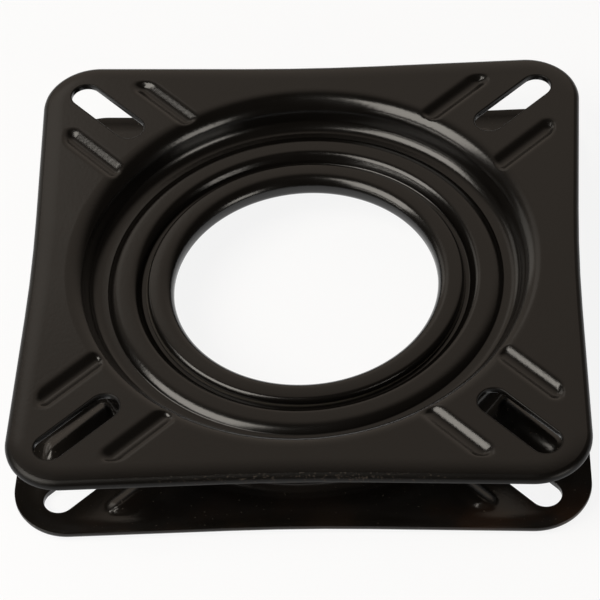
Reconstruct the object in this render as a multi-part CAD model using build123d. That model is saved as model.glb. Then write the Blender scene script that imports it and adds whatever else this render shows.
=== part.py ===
"""Boat seat swivel: two pressed steel plates that turn on a nylon ring, held by a rolled collar.

Millimetres, +Z up. The origin is on the swivel axis, on the face that lies on the pedestal.
The sides of both plates run along X and Y. Bends of the sheet are drawn as short flats.
"""

import os
from math import atan, atan2, pi, radians, sin, sqrt, tan

from build123d import *

# Plates, both pressed from the same sheet
PLATE_SIZE = 180.0  # across the sides, between the sharp corners they would meet in
SWIVEL_HEIGHT = 28.6  # from the pedestal face to the seat face
SHEET = 2.3
CORNER_RADIUS = 18.0
SIDE_DRAW_IN = 2.8  # how far both halves of a side lean in, from its corners to its middle
SIDE_WAIST_RADIUS = 700.0  # of the wide bend in the middle of a side
EDGE_ROLL_REACH = 7.0  # width of the strip along the edge that rolls over
EDGE_ROLL_DROP = 0.9  # how far the edge lies below the face

# Bolt slots on the diagonals
SLOT_WIDTH = 9.8
SLOT_CORNER_WALL = 7.9  # between the slot and the corner of the plate
SLOT_BOWL_WALL = 2.2  # between the slot and the bend into the bowl

# Stiffening ribs, a pair beside each slot, that run out into the bowl
RIB_WIDTH = 9.0
RIB_DEPTH = 1.8
RIB_WALL_REACH = 3.2  # width of the slope on each side of the floor
RIB_SLOT_GAP = 6.6  # between the slot and the rib
RIB_SHORTFALL = 11.3  # how much sooner than the slot it ends, towards the corner

# Bowl in the middle of each plate, down to the ledge round the bearing
BOWL_RADIUS = 71.2  # where the field and the wall would meet in a sharp edge
BOWL_EDGE_BEND = 7.5
BOWL_WALL_LEAN = 2.4  # how much narrower it is at its foot
LEDGE_DEPTH = 10.6
LEDGE_WIDTH = 5.0

# Ridge that covers the bearing ring
RIDGE_DEPTH = 8.8  # seat face to its top
RIDGE_OUTER_SLOPE = 3.9  # width of the slope from the ledge up to its top
RIDGE_WIDTH = 4.9  # of its flat top
RIDGE_INNER_SLOPE = 2.3  # width of the slope from its top down to the lip

# Collar of the lower plate, rolled out over the upper one
FLANGE_RIDGE_GAP = 1.9  # between the foot of the ridge and the edge of the flange
FLANGE_WIDTH = 8.4  # from its edge to the wall of the throat
FLANGE_DEPTH = 9.2  # seat face to the top of the rolled flange
FLANGE_ROLL_RADIUS = 4.0  # outer radius where the collar rolls out
COLLAR_FOOT_RADIUS = 3.1  # outer radius where the collar rises from the lip
COLLAR_CLEARANCE = 1.1  # collar wall to the upper plate's bore
LIP_GAP = 0.4  # between the inner lips of the plates

# Nylon rings
BEARING_CLEARANCE = 0.1  # above and below the bearing ring
BEARING_SIDE_CLEARANCE = 0.4
GLIDE_THICKNESS = 0.5
GLIDE_CLEARANCE = 0.05
GLIDE_OVERHANG = 0.4  # past the edge of the flange

# Places that follow from the sizes above
SIDE_LEAN = atan2(SIDE_DRAW_IN, PLATE_SIZE / 2)
CORNER_REACH = PLATE_SIZE / sqrt(2) - CORNER_RADIUS / sin(pi / 4 - SIDE_LEAN) + CORNER_RADIUS
WALL_TURN = atan2(LEDGE_DEPTH, BOWL_WALL_LEAN)
FIELD_RADIUS = BOWL_RADIUS + BOWL_EDGE_BEND * tan(WALL_TURN / 2)  # where the field starts to bend
SLOT_INNER_REACH = FIELD_RADIUS + SLOT_BOWL_WALL + SLOT_WIDTH / 2  # axis to the centre of the slot's end
SLOT_OUTER_REACH = CORNER_REACH - SLOT_CORNER_WALL - SLOT_WIDTH / 2
RIB_OFFSET = SLOT_WIDTH / 2 + RIB_SLOT_GAP + RIB_WIDTH / 2  # slot centre line to rib centre line
RIB_OUTER_REACH = SLOT_OUTER_REACH + SLOT_WIDTH / 2 - RIB_SHORTFALL
RIB_INNER_REACH = sqrt(BOWL_RADIUS**2 - RIB_OFFSET**2)
RIB_BACK_REACH = sqrt((BOWL_RADIUS + SHEET) ** 2 - RIB_OFFSET**2)  # inner end of the back of a rib
RIB_BACK_GROWTH = SHEET * tan(atan(RIB_DEPTH / RIB_WALL_REACH) / 2)
BOWL_FOOT_RADIUS = BOWL_RADIUS - BOWL_WALL_LEAN
RIDGE_OUTER_FOOT = BOWL_FOOT_RADIUS - LEDGE_WIDTH
RIDGE_OUTER_EDGE = RIDGE_OUTER_FOOT - RIDGE_OUTER_SLOPE
RIDGE_INNER_EDGE = RIDGE_OUTER_EDGE - RIDGE_WIDTH
RIDGE_INNER_FOOT = RIDGE_INNER_EDGE - RIDGE_INNER_SLOPE
FLANGE_RADIUS = RIDGE_INNER_FOOT - FLANGE_RIDGE_GAP
THROAT_RADIUS = FLANGE_RADIUS - FLANGE_WIDTH
ROLL_TURN = radians(22.5)  # from the flange to the first of the two flats of its roll
FLANGE_SEAT_RADIUS = THROAT_RADIUS + FLANGE_ROLL_RADIUS + SHEET * tan(ROLL_TURN / 2)
UPPER_LIP_DEPTH = FLANGE_DEPTH + SHEET + GLIDE_THICKNESS + 2 * GLIDE_CLEARANCE
LOWER_LIP_DEPTH = SWIVEL_HEIGHT - UPPER_LIP_DEPTH - 2 * SHEET - LIP_GAP
BORE_RADIUS = THROAT_RADIUS + SHEET + COLLAR_CLEARANCE
BORE_EDGE_CHAMFER = COLLAR_FOOT_RADIUS - SHEET  # clears the inside of the collar's foot
DIAGONALS = (45, 135, 225, 315)


def plate_outline():
    """Outline of a plate: sides that lean in to a wide bend at their middle, between round corners."""
    corner = PLATE_SIZE / 2
    quarter = [Vector(0, corner - SIDE_DRAW_IN), Vector(corner, corner)]
    points = [point.rotate(Axis.Z, -90 * turn) for turn in range(4) for point in quarter]
    return make_face(FilletPolyline(*points, radius=[SIDE_WAIST_RADIUS, CORNER_RADIUS] * 4, close=True))


def field():
    """Flat field of a plate, face up at z = 0, rolled over along its edge."""
    block = extrude(plate_outline(), -EDGE_ROLL_DROP - SHEET)
    face = block.faces().sort_by(Axis.Z)[-1]
    block = chamfer(face.edges(), EDGE_ROLL_REACH, EDGE_ROLL_DROP, reference=face)
    return block - Pos(0, 0, -SHEET) * block


def bend(before, corner, after, radius, flats):
    """Points that round a corner of the given radius in equal flats."""
    corner = Vector(corner)
    back = (Vector(before) - corner).normalized()
    ahead = (Vector(after) - corner).normalized()
    half = radians(back.get_angle(ahead)) / 2
    crown = (back + ahead).normalized() * (radius / sin(half) - radius)
    reach = radius / tan(half)
    arc = ThreePointArc(corner + back * reach, corner + crown, corner + ahead * reach)
    return [arc @ (step / flats) for step in range(flats + 1)]


def ring_path(lip_depth):
    """Face of the pressed ring in section, from the field over the bowl and the ridge to the lip."""
    start = (FIELD_RADIUS + SHEET, 0)
    foot = (BOWL_FOOT_RADIUS, -LEDGE_DEPTH)
    ridge = [
        (RIDGE_OUTER_FOOT, -LEDGE_DEPTH),
        (RIDGE_OUTER_EDGE, -RIDGE_DEPTH),
        (RIDGE_INNER_EDGE, -RIDGE_DEPTH),
        (RIDGE_INNER_FOOT, -lip_depth),
    ]
    return [start, *bend(start, (BOWL_RADIUS, 0), foot, BOWL_EDGE_BEND, flats=2), foot, *ridge]


def ring_section(path):
    """Section of the ring: its face thickened by one sheet towards the inside of the swivel."""
    return make_face(offset(Polyline(*path), SHEET, kind=Kind.INTERSECTION, side=Side.LEFT).edges())


def rib(inner_reach, growth):
    """Pressed form of a rib along X, its mouth at z = 0, with eight walls that slope in to the floor."""
    outer_reach = RIB_OUTER_REACH + growth
    width = RIB_WIDTH + 2 * growth
    block = Box(outer_reach - inner_reach, width, 2 * RIB_DEPTH)
    block = chamfer(block.edges().filter_by(Axis.Z), width / (2 + sqrt(2)))
    floor = block.faces().sort_by(Axis.Z)[0]
    form = chamfer(floor.edges(), RIB_WALL_REACH, RIB_DEPTH, reference=floor)
    return Pos((inner_reach + outer_reach) / 2, 0, 0) * (form & Pos(0, 0, -RIB_DEPTH) * block)


def at_ribs(shape):
    """Copies of a shape drawn along X, one at each rib."""
    return [Rot(0, 0, turn) * Pos(0, side * RIB_OFFSET, 0) * shape for turn in DIAGONALS for side in (-1, 1)]


def pressed_plate(section):
    """Plate face up at z = 0: field, bowl and ridge, pressed ribs and bolt slots."""
    plate = field() - Cylinder(FIELD_RADIUS + SHEET, SWIVEL_HEIGHT)
    plate += revolve(Plane.XZ * section, Axis.Z)
    plate += at_ribs(Pos(0, 0, -SHEET) * rib(RIB_BACK_REACH, RIB_BACK_GROWTH))
    plate -= at_ribs(rib(RIB_INNER_REACH, 0))
    slot = SlotCenterToCenter(SLOT_OUTER_REACH - SLOT_INNER_REACH, SLOT_WIDTH)
    slot = Pos((SLOT_INNER_REACH + SLOT_OUTER_REACH) / 2, 0, 0) * extrude(slot, 2 * SHEET, both=True)
    plate -= [Rot(0, 0, turn) * slot for turn in DIAGONALS]
    return plate


def upper_plate():
    """Plate under the seat; its lip ends in a bore round the collar, with its lower edge broken."""
    end = (BORE_RADIUS, -UPPER_LIP_DEPTH)
    section = ring_section([*ring_path(UPPER_LIP_DEPTH), end])
    edge = section.vertices().sort_by_distance((BORE_RADIUS, -UPPER_LIP_DEPTH - SHEET))[0]
    return Pos(0, 0, SWIVEL_HEIGHT) * pressed_plate(chamfer(edge, BORE_EDGE_CHAMFER))


def lower_plate():
    """The same stamping turned over, its lip drawn up into the collar and rolled out at the top."""
    path = ring_path(LOWER_LIP_DEPTH)
    foot = (THROAT_RADIUS, -LOWER_LIP_DEPTH)
    roll = (THROAT_RADIUS, FLANGE_DEPTH - SWIVEL_HEIGHT)
    tip = (FLANGE_RADIUS, FLANGE_DEPTH - SWIVEL_HEIGHT)
    path += bend(path[-1], foot, roll, COLLAR_FOOT_RADIUS, flats=1)
    path += bend(foot, roll, tip, FLANGE_ROLL_RADIUS, flats=2)
    return Rot(180, 0, 0) * pressed_plate(ring_section([*path, tip]))


def bearing_ring():
    """Nylon ring in the channels under both ridges, which carries the seat plate."""
    outer_half_turn = atan2(LEDGE_DEPTH - RIDGE_DEPTH, RIDGE_OUTER_SLOPE) / 2
    inner_half_turn = atan2(UPPER_LIP_DEPTH - RIDGE_DEPTH, RIDGE_INNER_SLOPE) / 2
    outer = RIDGE_OUTER_EDGE - SHEET * tan(outer_half_turn) - BEARING_SIDE_CLEARANCE
    inner = RIDGE_INNER_EDGE + SHEET * tan(inner_half_turn) + BEARING_SIDE_CLEARANCE
    bottom = RIDGE_DEPTH + SHEET + BEARING_CLEARANCE
    ring = extrude(Circle(outer) - Circle(inner), SWIVEL_HEIGHT - 2 * bottom)
    return Pos(0, 0, bottom) * ring


def glide_ring():
    """Nylon washer that the flange runs on."""
    ring = Circle(FLANGE_RADIUS + GLIDE_OVERHANG) - Circle(FLANGE_SEAT_RADIUS + GLIDE_CLEARANCE)
    bottom = SWIVEL_HEIGHT - UPPER_LIP_DEPTH + GLIDE_CLEARANCE
    return Pos(0, 0, bottom) * extrude(ring, GLIDE_THICKNESS)


NODES = {
    "upper_plate": upper_plate,
    "lower_plate": lower_plate,
    "bearing_ring": bearing_ring,
    "glide_ring": glide_ring,
}

os.makedirs("parts", exist_ok=True)
for name, build in NODES.items():
    export_step(build(), f"parts/{name}.step")
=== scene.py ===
import bpy
import numpy as np
from mathutils import Matrix, Vector
from mathutils.geometry import delaunay_2d_cdt


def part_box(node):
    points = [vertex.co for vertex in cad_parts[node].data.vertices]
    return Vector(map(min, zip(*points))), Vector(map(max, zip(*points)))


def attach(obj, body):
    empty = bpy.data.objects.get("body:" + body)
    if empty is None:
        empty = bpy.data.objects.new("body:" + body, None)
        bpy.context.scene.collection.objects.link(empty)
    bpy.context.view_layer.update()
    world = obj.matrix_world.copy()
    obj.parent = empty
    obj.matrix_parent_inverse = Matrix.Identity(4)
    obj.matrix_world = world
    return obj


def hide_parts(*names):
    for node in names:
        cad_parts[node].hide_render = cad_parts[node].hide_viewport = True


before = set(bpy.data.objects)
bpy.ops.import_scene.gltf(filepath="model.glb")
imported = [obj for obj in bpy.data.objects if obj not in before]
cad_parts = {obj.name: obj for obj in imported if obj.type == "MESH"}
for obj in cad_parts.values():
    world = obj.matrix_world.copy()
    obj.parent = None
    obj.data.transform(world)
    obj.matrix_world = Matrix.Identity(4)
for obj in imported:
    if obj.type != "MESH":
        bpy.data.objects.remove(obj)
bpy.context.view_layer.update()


# Upper plate
# One square of sheet steel, pressed in a single stroke: edge rolled over, bowl and bearing ridge drawn in
# the middle, eight ribs pressed in and four bolt slots punched out. Dipped in black paint.

MM = 0.001
SHEET = 2.3
FLAT_MARGIN = 0.25  # flat strip kept beside a bend or a cut, so that the field shades level
SHEARED_EDGE = 0.35  # rounding of a punched edge under its paint

SEAT_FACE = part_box("upper_plate")[1][2] / MM
SHARP_HALF = 90.0  # from the axis to the sharp corners that the sides would meet in
SIDE_DRAW_IN = 2.8
WAIST_RADIUS = 700.0
CORNER_RADIUS = 18.0
EDGE_START = 7.0  # from the outline in to where the edge starts to roll over
EDGE_ROLL = ((4.45, 0.0), (-0.35, -1.2))  # its bend and its free end: inwards from the outline, and up
EDGE_ROLL_RADIUS = 20.8
EDGE_ROUND = 2.15  # rounding of the face at the free end
EDGE_BACK_ROUND = 0.1
OUTLINE_STEP = 1.5  # greatest distance between two points of the outline
BEND_STEP = 0.1  # radians between two points of a bend
FINE_BEND_STEP = 0.03
ROUND_POINTS = 5  # points of a quarter circle at a free edge


def bent_path(corners, radii, step=BEND_STEP):
    """Points and left-hand normals along straight runs joined by arcs, one point at each step in radians.

    Each arc starts where its first run touches a circle of its radius, and turns the left-hand
    normal of that run evenly into the left-hand normal of the next one.
    """
    corners = np.array(corners, float)
    runs = np.diff(corners, axis=0)
    runs /= np.linalg.norm(runs, axis=1)[:, None]
    lefts = np.stack([-runs[:, 1], runs[:, 0]], axis=1)
    points, normals = [corners[:1]], [lefts[:1]]
    for corner, run, left, next_run, radius in zip(corners[1:-1], runs, lefts, runs[1:], radii):
        turn = np.arctan2(run[0] * next_run[1] - run[1] * next_run[0], run @ next_run)
        start = corner - run * radius * np.tan(abs(turn) / 2)
        centre = start + left * radius * np.sign(turn)
        angles = np.linspace(0, turn, int(np.ceil(abs(turn) / step)) + 1)
        turned = np.stack(
            [
                left[0] * np.cos(angles) - left[1] * np.sin(angles),
                left[0] * np.sin(angles) + left[1] * np.cos(angles),
            ],
            axis=1,
        )
        points.append(centre - turned * radius * np.sign(turn))
        normals.append(turned)
    return np.vstack([*points, corners[-1:]]), np.vstack([*normals, lefts[-1:]])


def sheet_section(corners, radii, face_edge=SHEARED_EDGE, back_edge=SHEARED_EDGE, step=BEND_STEP, wear=1.0):
    """Closed section of a sheet that runs from the field to a free edge and back.

    The face follows the corners, the back lies one sheet to its left, and a quarter circle rounds
    each side of the free edge. The third value of a point is the wear of the rounding of the face's edge.
    """
    points, normals = bent_path(corners, radii, step)
    ahead = np.array([normals[-1, 1], -normals[-1, 0]])
    edge = points[-1].copy()
    points[-1] = edge - ahead * face_edge
    quarter = np.linspace(0, np.pi / 2, ROUND_POINTS)[:, None]
    face_round = edge - ahead * face_edge + normals[-1] * face_edge
    face_round = face_round - face_edge * (normals[-1] * np.cos(quarter) - ahead * np.sin(quarter))
    back_round = edge - ahead * back_edge + normals[-1] * (SHEET - back_edge)
    back_round = back_round + back_edge * (ahead * np.cos(quarter) + normals[-1] * np.sin(quarter))
    back = points + normals * SHEET
    rows = np.vstack([points[:-1], face_round, back_round, back[:-1][::-1]])
    worn = np.zeros(len(rows))
    round_start = len(points) - 1
    worn[round_start : round_start + ROUND_POINTS] = wear
    return np.column_stack([rows, worn])


def ring_path(count=256):
    """Circle of directions about the swivel axis: a section is carried at its own radius."""
    turn = np.linspace(0, 2 * np.pi, count, endpoint=False)
    directions = np.stack([np.cos(turn), np.sin(turn)], axis=1)
    return np.zeros_like(directions), directions


def outline_path():
    """Outline of the plate, clockwise, with its inward normals.

    Both halves of a side lean in towards a wide bend at its middle; round corners join the sides.
    Long runs are divided, so that the field's triangles beside them stay small.
    """
    middle = SHARP_HALF - SIDE_DRAW_IN
    quarter = np.array([(0, middle), (SHARP_HALF, SHARP_HALF)])
    quarter_turn = np.array([[0, -1], [1, 0]])
    corners = np.vstack([quarter @ np.linalg.matrix_power(quarter_turn, turn) for turn in range(4)])
    start = (corners[:1] + corners[-1:]) / 2
    path = np.vstack([start, corners, start])
    points, lefts = bent_path(path, [WAIST_RADIUS, CORNER_RADIUS] * 4, FINE_BEND_STEP)
    counts = np.ceil(np.linalg.norm(np.diff(points, axis=0), axis=1) / OUTLINE_STEP).astype(int)
    places = np.concatenate([index + np.arange(count) / count for index, count in enumerate(counts)])
    knots = np.arange(len(points))
    closer = [np.interp(places, knots, column) for column in (*points.T, *-lefts.T)]
    return np.column_stack(closer[:2]), np.column_stack(closer[2:])


def stadium_path(inner, outer, diagonal, end_count=25):
    """Spine of a slot on a diagonal, with directions that turn half round at each end."""
    turn = np.linspace(-np.pi / 2, np.pi / 2, end_count)
    half_round = np.stack([np.cos(turn), np.sin(turn)], axis=1)
    directions = np.vstack([half_round, -half_round])
    spine = np.zeros_like(directions)
    spine[:end_count, 0] = outer
    spine[end_count:, 0] = inner
    cosine, sine = np.cos(np.radians(diagonal)), np.sin(np.radians(diagonal))
    turned = np.array([[cosine, sine], [-sine, cosine]])
    return spine @ turned, directions @ turned


def carried(section, path):
    """Section carried along a closed path: first value out along the path's normals, the others kept."""
    points, normals = path
    flat = points[None] + section[:, 0, None, None] * normals[None]
    rest = np.broadcast_to(section[:, None, 1:], (*flat.shape[:2], 2))
    return np.concatenate([flat, rest], axis=2)


def grid_faces(rows, columns):
    """Quads of a grid whose columns close into a ring; they face the side that the section turns to."""
    index = np.arange(rows * columns).reshape(rows, columns)
    ahead = np.roll(index, -1, axis=1)
    return np.stack([index[:-1], ahead[:-1], ahead[1:], index[1:]], axis=2).reshape(-1, 4)


# sizes of the pressing in millimetres, out from the swivel axis and up from the seat face
BOWL_EDGE = (71.2, 0.0)
BOWL_FOOT = (68.2, -10.6)
RIDGE = ((63.4, -10.6), (61.5, -8.8), (55.0, -8.8))
RIDGE_FOOT_RADIUS = 52.7
BOWL_BENDS = (6.6, 4.0, 0.6, 5.6, 2.6, 0.9)
BOWL_TURN = np.arctan2(BOWL_EDGE[1] - BOWL_FOOT[1], BOWL_EDGE[0] - BOWL_FOOT[0])
FIELD_RADIUS = BOWL_EDGE[0] + BOWL_BENDS[0] * np.tan(BOWL_TURN / 2)
BOWL_MOUTH = FIELD_RADIUS + FLAT_MARGIN
ROLL_ROWS = 12  # rows of the ring from the mouth down to where the bowl's edge is steep
UPPER_LIP = -12.1
BORE_RADIUS = 45.8
BORE_ROUNDS = (0.5, 1.2)  # rounding of the bore on the face and on the back
SLOT = (84.3, 106.2)
SLOT_WIDTH = 9.8
RIB_OFFSET = 16.0
RIB_REACH = 95.0  # where its half round end starts
RIB_HALF_WIDTH = 4.5
RIB_DEPTH = 1.55
RIB_FADE = 72.2  # radius at which it has run out
RIB_RUN_OUT = 2.5  # length over which it runs out
RIB_BACK_WIDENING = 0.25  # of its half width, for each millimetre below the face
RIB_SPAN = (68, 102)  # stretch of a diagonal that has fine points for its two ribs
RIB_STEP = 0.7
RIB_POINTS_HALF = 5.5  # half the width of these points
RIB_POINTS_ACROSS = 27
RIB_CLEARANCE = 5.8  # from a rib's spine to the nearest points of the bowl's edge
STEEP_CLEARANCE = 0.4  # from the steep part of the bowl's edge to the fine points
DIAGONALS = (45, 135, 225, 315)
JOIN_DISTANCE = 1e-6
JOIN_DECIMALS = 4
ONLY_INSIDE = 1  # output kind of the Delaunay call: triangles within the loops


def rib_distance(spots):
    """Distance from the spine of the nearest rib; the eight ribs are mirror images of one."""
    wide, narrow = np.abs(spots).max(axis=1), np.abs(spots).min(axis=1)
    along, across = (wide + narrow) / np.sqrt(2), (wide - narrow) / np.sqrt(2)
    return np.hypot(np.maximum(along - RIB_REACH, 0), across - RIB_OFFSET)


def edge_distance(spots):
    """Distance of points beside a straight side from the flat strip before its rolled edge."""
    wide, narrow = np.abs(spots).max(axis=1), np.abs(spots).min(axis=1)
    lean = np.arctan2(SIDE_DRAW_IN, SHARP_HALF)
    side = SHARP_HALF - SIDE_DRAW_IN + narrow * np.tan(lean)
    return (side - wide) * np.cos(lean) - EDGE_START - FLAT_MARGIN


def field_height(spots, below):
    """Height of the field's face, or of its back one sheet below.

    The bowl's edge falls by b - sqrt(b^2 - i^2), i inwards from the field and b its bend. A rib falls by
    a squared cosine of the distance from its spine, and fades out on the bowl's edge and before the
    rolled edge by the smooth step 3f^2 - 2f^3. Both join as the sixth root of the sum of their sixth
    powers, which is nearly the deeper one.
    """
    radii = np.hypot(*spots.T)
    bend = BOWL_BENDS[0] - below
    roll = bend - np.sqrt(bend**2 - np.clip(FIELD_RADIUS - radii, 0, bend) ** 2)
    away = np.clip(rib_distance(spots) / (RIB_HALF_WIDTH + RIB_BACK_WIDENING * below), 0, 1)
    rib = RIB_DEPTH * np.cos(np.pi / 2 * away) ** 2
    for room in (radii - RIB_FADE, edge_distance(spots)):
        fade = np.clip(room / RIB_RUN_OUT, 0, 1)
        rib *= fade**2 * (3 - 2 * fade)
    return -below - (roll**6 + rib**6) ** (1 / 6)


def field_points(roll_rows, steep):
    """Loose points of the field: rows of the bowl's edge, and a fine grid on each rib."""
    across = RIB_OFFSET + np.linspace(-RIB_POINTS_HALF, RIB_POINTS_HALF, RIB_POINTS_ACROSS)
    along, across = np.meshgrid(np.arange(*RIB_SPAN, RIB_STEP), across)
    first, second = (along + across).ravel() / np.sqrt(2), (along - across).ravel() / np.sqrt(2)
    one_corner = np.vstack([np.column_stack([first, second]), np.column_stack([second, first])])
    ribs = np.vstack([one_corner * signs for signs in ((1, 1), (1, -1), (-1, 1), (-1, -1))])
    rows = roll_rows[..., :2].reshape(-1, 2)
    return [rows[rib_distance(rows) > RIB_CLEARANCE], ribs[np.hypot(*ribs.T) > steep + STEEP_CLEARANCE]]


def field_faces(loops, loose, below, upwards):
    """Points and triangles of the field between its outer loop and its holes."""
    steep = np.hypot(*loops[1][0, :2])
    ends = np.cumsum([0, *map(len, loops)])
    rings = [list(range(*span)) for span in zip(ends, ends[1:])]
    rings[0].reverse()
    spots = np.vstack([*(loop[:, :2] for loop in loops), *field_points(loose, steep)])
    flat = [Vector(spot) for spot in spots]
    _, _, triangles, sources, _, inside = delaunay_2d_cdt(flat, [], rings, ONLY_INSIDE, JOIN_DISTANCE)
    field = np.array([triangle for triangle, within in zip(triangles, inside) if list(within) == [0]])
    used, field = np.unique(np.array([source[0] for source in sources])[field], return_inverse=True)
    field = field.reshape(-1, 3)
    heights = field_height(spots[used], below)
    points = np.column_stack([spots[used], heights, np.zeros(len(used))])
    return points, field if upwards else field[:, ::-1]


def closed_mesh(name, grids, fields, place):
    """Mesh of carried grids and fields, with the points where they meet joined into one."""
    points, faces = [], []
    for grid in grids:
        faces += (grid_faces(*grid.shape[:2]) + sum(map(len, points))).tolist()
        points.append(grid.reshape(-1, 4))
    for spots, triangles in fields:
        faces += (triangles + sum(map(len, points))).tolist()
        points.append(spots)
    points = np.vstack(points)
    places = np.round(points[:, :3], JOIN_DECIMALS)
    _, first, where = np.unique(places, axis=0, return_index=True, return_inverse=True)
    where = where.reshape(-1)
    mesh = bpy.data.meshes.new(name)
    mesh.from_pydata(place(points[first, :3]) * MM, [], [where[face].tolist() for face in faces])
    mesh.polygons.foreach_set("use_smooth", np.ones(len(mesh.polygons), bool))
    mesh.attributes.new("worn", "FLOAT", "POINT").data.foreach_set("value", points[first, 3])
    mesh.update()
    piece = bpy.data.objects.new(name, mesh)
    bpy.context.scene.collection.objects.link(piece)
    return piece


def pressing(name, ring_section, place):
    """Whole plate, its face up at height 0.

    The ring, the edge and the slots are carried sections, and the field lies between them.
    """
    ring = carried(ring_section, ring_path())
    face_roll, ring, back_roll = np.split(ring, [ROLL_ROWS, len(ring) - ROLL_ROWS])
    edge_corners = [(EDGE_START + FLAT_MARGIN, 0), *EDGE_ROLL]
    edge_rounds = (EDGE_ROUND, EDGE_BACK_ROUND)
    edge_section = sheet_section(edge_corners, [EDGE_ROLL_RADIUS], *edge_rounds, FINE_BEND_STEP)
    edge = carried(edge_section, outline_path())
    slot_edge = SLOT_WIDTH / 2
    slot_section = sheet_section([(slot_edge + SHEARED_EDGE + FLAT_MARGIN, 0), (slot_edge, 0)], [])
    slots = [carried(slot_section, stadium_path(*SLOT, turn)) for turn in DIAGONALS]
    fields = [
        field_faces([edge[0], ring[0], *(slot[0] for slot in slots)], face_roll, 0, True),
        field_faces([edge[-1], ring[-1], *(slot[-1] for slot in slots)], back_roll, SHEET, False),
    ]
    return closed_mesh(name, [ring, edge, *slots], fields, place)


upper_corners = [
    (BOWL_MOUTH, 0),
    BOWL_EDGE,
    BOWL_FOOT,
    *RIDGE,
    (RIDGE_FOOT_RADIUS, UPPER_LIP),
    (BORE_RADIUS, UPPER_LIP),
]
upper_section = sheet_section(upper_corners, BOWL_BENDS, *BORE_ROUNDS)
upper_plate = pressing("upper_plate_pressing", upper_section, lambda points: points + [0, 0, SEAT_FACE])
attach(upper_plate, "seat_plate")
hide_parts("upper_plate")


# Black paint of the plates
# A thin coat, satin and slightly brown, with a faint grain from the steel under it. It is chipped along
# the edges, most of all in the middle of the front. The lower plate has gathered dust and some rust.

FRONT_STRIP = (-0.070, -0.084)  # metres; where knocks and rust set in, and where they are full
KNOCKED_SPAN = (0.065, 0.030)  # the same for the knocks, from the middle of the front
RUST_SPAN = (0.02, 0.07)  # and for the rust, towards the right
DUST_HEIGHTS = (0.009, 0.005)  # and for the dust, downwards


def linked(tree, kind, inputs=None, **settings):
    """New shader node with its settings, and its inputs set to a value or linked to a socket."""
    made = tree.nodes.new(kind)
    for key, value in settings.items():
        setattr(made, key, value)
    for key, value in (inputs or {}).items():
        if isinstance(value, bpy.types.NodeSocket):
            tree.links.new(value, made.inputs[key])
        else:
            made.inputs[key].default_value = value
    return made


def ranged(tree, value, low, high, start=0.0, end=1.0, **settings):
    """Value mapped from a range to another one, and held at its ends."""
    inputs = {"Value": value, "From Min": low, "From Max": high, "To Min": start, "To Max": end}
    return linked(tree, "ShaderNodeMapRange", inputs, **settings).outputs["Result"]


def reckoned(tree, operation, *values):
    """Result of one operation on some values."""
    return linked(tree, "ShaderNodeMath", dict(enumerate(values)), operation=operation).outputs[0]


def product(tree, first, second):
    """Product of two values."""
    return reckoned(tree, "MULTIPLY", first, second)


def tinted(tree, share, first, second):
    """Colour that goes from the first to the second with the share."""
    mix = linked(tree, "ShaderNodeMix", {"Factor": share}, data_type="RGBA")
    for key, colour in (("A", first), ("B", second)):
        if isinstance(colour, bpy.types.NodeSocket):
            tree.links.new(colour, mix.inputs[key])
        else:
            mix.inputs[key].default_value = (*colour, 1)
    return mix.outputs["Result"]


def noise(tree, place, scale, detail):
    """Noise of a scale in lumps per metre."""
    inputs = {"Vector": place, "Scale": scale, "Detail": detail}
    return linked(tree, "ShaderNodeTexNoise", inputs).outputs["Fac"]


def black_paint(name, dust, rust):
    """Satin black paint: colour and roughness vary with a slow noise, a fine noise is the grain.

    Chips show bare, browned steel where a finer noise is high on the worn edges. Dust is a pale brown
    veil with specks in it, and rust browns the paint near the front edge.
    """
    material = bpy.data.materials.new(name)
    material.use_nodes = True
    tree = material.node_tree
    shader = tree.nodes["Principled BSDF"]
    place = linked(tree, "ShaderNodeTexCoord").outputs["Object"]
    spot = linked(tree, "ShaderNodeSeparateXYZ", {0: place}).outputs
    slow = noise(tree, place, 45.0, 4.0)
    colour = tinted(tree, slow, (0.0024, 0.0020, 0.0017), (0.0036, 0.0031, 0.0027))
    low = ranged(tree, spot["Z"], *DUST_HEIGHTS, 0.0, dust)
    veil = product(tree, low, ranged(tree, slow, 0.3, 0.7, 0.5, 1.0))
    colour = tinted(tree, veil, colour, (0.030, 0.026, 0.022))
    specks = product(tree, ranged(tree, noise(tree, place, 900.0, 2.0), 0.70, 0.74), low)
    colour = tinted(tree, specks, colour, (0.20, 0.18, 0.15))
    front = ranged(tree, spot["Y"], *FRONT_STRIP)
    rightwards = ranged(tree, spot["X"], *RUST_SPAN, 0.25, 1.0)
    patches = product(tree, rightwards, ranged(tree, slow, 0.46, 0.60, 0.0, rust))
    colour = tinted(tree, product(tree, front, patches), colour, (0.034, 0.015, 0.007))
    worn = linked(tree, "ShaderNodeAttribute", attribute_name="worn").outputs["Fac"]
    sideways = reckoned(tree, "ABSOLUTE", spot["X"])
    knocked = product(tree, front, ranged(tree, sideways, *KNOCKED_SPAN))
    lumps = reckoned(tree, "MULTIPLY_ADD", knocked, 0.13, noise(tree, place, 1300.0, 4.0))
    chips = product(tree, ranged(tree, lumps, 0.72, 0.76), worn)
    colour = tinted(tree, chips, colour, (0.030, 0.024, 0.019))
    tree.links.new(colour, shader.inputs["Base Color"])
    rough = ranged(tree, slow, 0.3, 0.7, 0.17, 0.23)
    rough = reckoned(tree, "MULTIPLY_ADD", worn, 0.15, rough)
    rough = reckoned(tree, "MULTIPLY_ADD", chips, 0.3, rough)
    tree.links.new(rough, shader.inputs["Roughness"])
    tree.links.new(ranged(tree, worn, 0.0, 1.0, 0.5, 0.2), shader.inputs["Specular IOR Level"])
    relief = reckoned(tree, "MULTIPLY_ADD", chips, -1.5, noise(tree, place, 900.0, 3.0))
    bump = linked(tree, "ShaderNodeBump", {"Height": relief, "Strength": 0.12, "Distance": 0.0002})
    tree.links.new(bump.outputs["Normal"], shader.inputs["Normal"])
    return material


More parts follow.
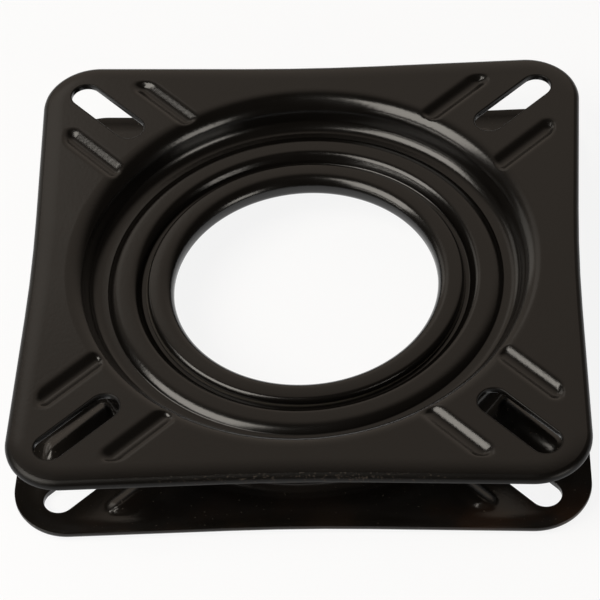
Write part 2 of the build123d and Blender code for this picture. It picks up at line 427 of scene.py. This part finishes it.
upper_plate.data.materials.append(black_paint("upper_paint", 0.0, 0.0))


# Lower plate
# The same pressing turned over. Its middle is drawn up into a collar through the upper plate's bore
# and rolled out over it, which holds the swivel together. Black paint as above.

LOWER_LIP = -11.5
THROAT_RADIUS = 42.4
FLANGE_RADIUS = 50.8
FLANGE_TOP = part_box("lower_plate")[1][2] / MM
COLLAR_BENDS = (3.1, 4.0)
FLANGE_ROUND = 1.5  # rounding of the rolled collar's rim, which isn't worn

lower_corners = [
    (BOWL_MOUTH, 0),
    BOWL_EDGE,
    BOWL_FOOT,
    *RIDGE,
    (RIDGE_FOOT_RADIUS, LOWER_LIP),
    (THROAT_RADIUS, LOWER_LIP),
    (THROAT_RADIUS, -FLANGE_TOP),
    (FLANGE_RADIUS, -FLANGE_TOP),
]
lower_section = sheet_section(lower_corners, (*BOWL_BENDS, *COLLAR_BENDS), FLANGE_ROUND, wear=0.0)
lower_plate = pressing("lower_plate_pressing", lower_section, lambda points: points * [1, -1, -1])
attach(lower_plate, "base")
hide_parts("lower_plate")
lower_plate.data.materials.append(black_paint("lower_paint", 0.25, 0.5))


# Nylon rings
# The bearing ring runs in the channels under both ridges and the glide ring under the rolled collar.
# Both are moulded in natural nylon, dull and a little yellowed. The glide ring's near-black colour is
# painted shade for the seam under the rolled collar.

def nylon(name, first, second):
    """Dull nylon, clouded between two colours."""
    material = bpy.data.materials.new(name)
    material.use_nodes = True
    tree = material.node_tree
    shader = tree.nodes["Principled BSDF"]
    place = linked(tree, "ShaderNodeTexCoord").outputs["Object"]
    colour = tinted(tree, noise(tree, place, 120.0, 2.0), first, second)
    tree.links.new(colour, shader.inputs["Base Color"])
    shader.inputs["Roughness"].default_value = 0.5
    return material


clean = nylon("nylon", (0.50, 0.47, 0.40), (0.62, 0.60, 0.54))
# painted shade: the glide ring is coloured near black so that it reads as the shaded seam between the
# collar and the ridge
seam_shade = nylon("greased_nylon", (0.018, 0.015, 0.0115), (0.022, 0.019, 0.0145))
for ring_name, ring_material in (("bearing_ring", clean), ("glide_ring", seam_shade)):
    ring_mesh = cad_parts[ring_name].data
    ring_mesh.materials.clear()
    ring_mesh.materials.append(ring_material)


# Floor
# A white sweep under the object. It takes the object's shadow, and shows as white paper to the camera.

FLOOR_HALF = 4.0
FLOOR_DROP = 0.0003  # below the plate that lies on it
PAPER_SHARE = 0.88  # how much of the sweep shows as plain white
floor_corners = np.array([(-1, -1), (1, -1), (1, 1), (-1, 1)]) * FLOOR_HALF
floor_mesh = bpy.data.meshes.new("floor")
floor_mesh.from_pydata(np.hstack([floor_corners, np.full((4, 1), -FLOOR_DROP)]), [], [(0, 1, 2, 3)])
floor = bpy.data.objects.new("floor", floor_mesh)
bpy.context.scene.collection.objects.link(floor)
sweep = bpy.data.materials.new("white_sweep")
sweep.use_nodes = True
sweep_tree = sweep.node_tree
sweep_shader = sweep_tree.nodes["Principled BSDF"]
sweep_shader.inputs["Base Color"].default_value = (0.9, 0.9, 0.9, 1)
sweep_shader.inputs["Roughness"].default_value = 0.9
ray = linked(sweep_tree, "ShaderNodeLightPath").outputs
seen = reckoned(sweep_tree, "MAXIMUM", ray["Is Camera Ray"], ray["Is Glossy Ray"])
seen = reckoned(sweep_tree, "MAXIMUM", seen, ray["Is Transmission Ray"])
share = product(sweep_tree, seen, PAPER_SHARE)
paper = linked(sweep_tree, "ShaderNodeEmission", {"Color": (1, 1, 1, 1), "Strength": 1.0}).outputs[0]
sides = {0: share, 1: sweep_shader.outputs[0], 2: paper}
mixed = linked(sweep_tree, "ShaderNodeMixShader", sides).outputs[0]
sweep_tree.links.new(mixed, sweep_tree.nodes["Material Output"].inputs["Surface"])
floor_mesh.materials.append(sweep)


# Studio light
# A dim, warm room that is paler behind the object, with a large soft box high on the left, a bright narrow
# strip below it, a window low on the front right and two weak panels behind.

PALE_SIDE = (0.0, 0.89, 0.45)  # direction in which the room is palest
world = bpy.data.worlds.new("studio")
bpy.context.scene.world = world
world.use_nodes = True
world_tree = world.node_tree
sky = linked(world_tree, "ShaderNodeTexCoord").outputs["Generated"]
sky_height = linked(world_tree, "ShaderNodeSeparateXYZ", {0: sky}).outputs["Z"]
horizon = ranged(world_tree, sky_height, 0.0, 0.04, 0.9, 0.045)
towards = {0: sky, 1: PALE_SIDE}
behind = linked(world_tree, "ShaderNodeVectorMath", towards, operation="DOT_PRODUCT").outputs["Value"]
behind = ranged(world_tree, behind, 0.5, 0.95, 0.0, 0.45, interpolation_type="SMOOTHSTEP")
room = reckoned(world_tree, "ADD", horizon, behind)
world_tree.links.new(room, world_tree.nodes["Background"].inputs["Strength"])
world_tree.nodes["Background"].inputs["Color"].default_value = (1, 0.85, 0.71, 1)

LAMP_DISTANCE = 1.2
LAMP_COLOUR = (1.0, 0.945, 0.86)


def soft_box(name, azimuth, elevation, along, width, height, radiance):
    """Soft box that faces the swivel from an azimuth and elevation in degrees.

    Its width is laid along a vector. An area lamp's energy is 4 times its area times its radiance.
    """
    light = bpy.data.lights.new(name, "AREA")
    light.shape = "RECTANGLE"
    light.size, light.size_y = width, height
    light.energy = 4 * width * height * radiance
    light.color = LAMP_COLOUR
    turn, lift = np.radians(azimuth), np.radians(elevation)
    away = Vector((np.cos(turn) * np.cos(lift), np.sin(turn) * np.cos(lift), np.sin(lift)))
    across = away.cross(Vector(along)).normalized()
    axes = Matrix((across.cross(away), across, away)).transposed()
    lamp = bpy.data.objects.new(name, light)
    lamp.matrix_world = Matrix.Translation(away * LAMP_DISTANCE) @ axes.to_4x4()
    lamp.visible_camera = False
    bpy.context.scene.collection.objects.link(lamp)


soft_box("left_box", 201, 48, (0.545, -0.669, 0.225), 0.88, 0.84, 4.8)
soft_box("low_panel", 212, 18, (0.82, -0.52, 0.14), 0.90, 0.06, 6.0)
soft_box("right_window", 318, 15.5, (1, 1, 0), 0.50, 0.42, 3.9)
soft_box("back_panel", 118, 40, (1, 0.5, 0), 0.40, 0.40, 0.30)
soft_box("back_left_panel", 140, 14, (1, 0.85, 0), 0.52, 0.60, 0.6)


# Camera
# Where the photograph was taken from: a long lens, half way up, rolled a little.

FOCUS = np.array([-0.58, -17.65, 28.6]) * MM
VIEW_TURN = 0.0981  # radians round the swivel axis
VIEW_LIFT = 0.8499
VIEW_ROLL = -0.0910
VIEW_DISTANCE = 0.9754
FOCAL_PIXELS = 3108.6
IMAGE_PIXELS = 600
right = np.array([np.cos(VIEW_TURN), np.sin(VIEW_TURN), 0])
outwards = np.array([np.sin(VIEW_TURN), -np.cos(VIEW_TURN), 0])
back = outwards * np.cos(VIEW_LIFT) + np.array([0, 0, np.sin(VIEW_LIFT)])
up = np.cross(back, right)
rolled_right = np.cos(VIEW_ROLL) * right + np.sin(VIEW_ROLL) * up
rolled_up = np.cos(VIEW_ROLL) * up - np.sin(VIEW_ROLL) * right
camera_data = bpy.data.cameras.new("camera")
camera_data.sensor_width = 36.0
camera_data.lens = FOCAL_PIXELS / IMAGE_PIXELS * camera_data.sensor_width
camera = bpy.data.objects.new("camera", camera_data)
axes = np.stack([rolled_right, rolled_up, back], axis=1)
camera.matrix_world = Matrix.Translation(FOCUS + back * VIEW_DISTANCE) @ Matrix(axes.tolist()).to_4x4()
bpy.context.scene.collection.objects.link(camera)
bpy.context.scene.camera = camera
bpy.context.scene.view_settings.view_transform = "Standard"
